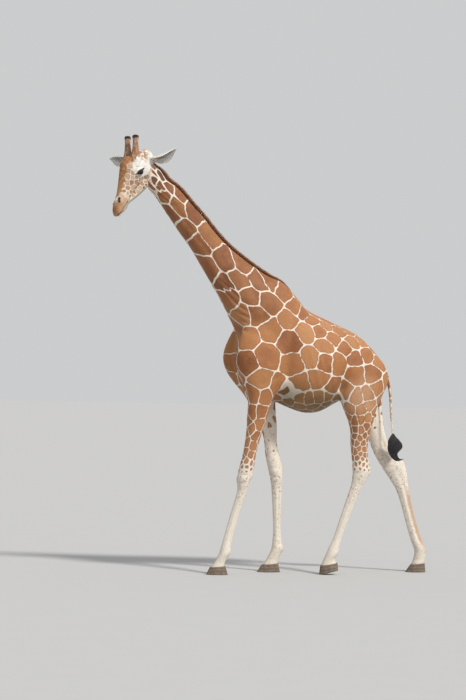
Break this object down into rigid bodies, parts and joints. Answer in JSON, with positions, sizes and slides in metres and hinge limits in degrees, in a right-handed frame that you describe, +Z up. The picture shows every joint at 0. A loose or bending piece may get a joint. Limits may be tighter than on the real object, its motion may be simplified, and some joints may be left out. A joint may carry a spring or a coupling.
{
  "type": "reticulated giraffe",
  "caption": "Adult reticulated giraffe walking slowly with its head turned a little to its left, one still animal at life size.",
  "frame": {"origin": "centre of the bounding box, on the floor under the animal", "axes": "+Z up; the animal faces -X and its left flank faces -Y"},
  "size_m": [3.2142, 0.7152, 4.1031],
  "materials": {
    "hide": "short coat of red-brown patches between narrow cream lines, cream below the knees",
    "mane": "stiff upright rust-brown hair",
    "tail_hair": "long black hair",
    "hoof": "dull grey-tan horn",
    "ossicone": "haired tan-brown with dark tips",
    "eye": "wet dark brown"
  },
  "bodies": {
    "root": {"front_left_upper": "hide", "front_left_lower": "hide", "hoof_front_left": "hoof", "front_right_upper": "hide", "front_right_lower": "hide", "hoof_front_right": "hoof", "hind_left_upper": "hide", "hind_left_lower": "hide", "hoof_hind_left": "hoof", "hind_right_upper": "hide", "hind_right_lower": "hide", "hoof_hind_right": "hoof", "eye_left": "eye", "ossicone_left": "ossicone", "ear_left": "hide", "eye_right": "eye", "ossicone_right": "ossicone", "ear_right": "hide", "mane": "mane", "tail": "hide", "tail_tuft": "tail_hair", "trunk": "hide", "neck": "hide", "head": "hide"}
  },
  "joints": []
}
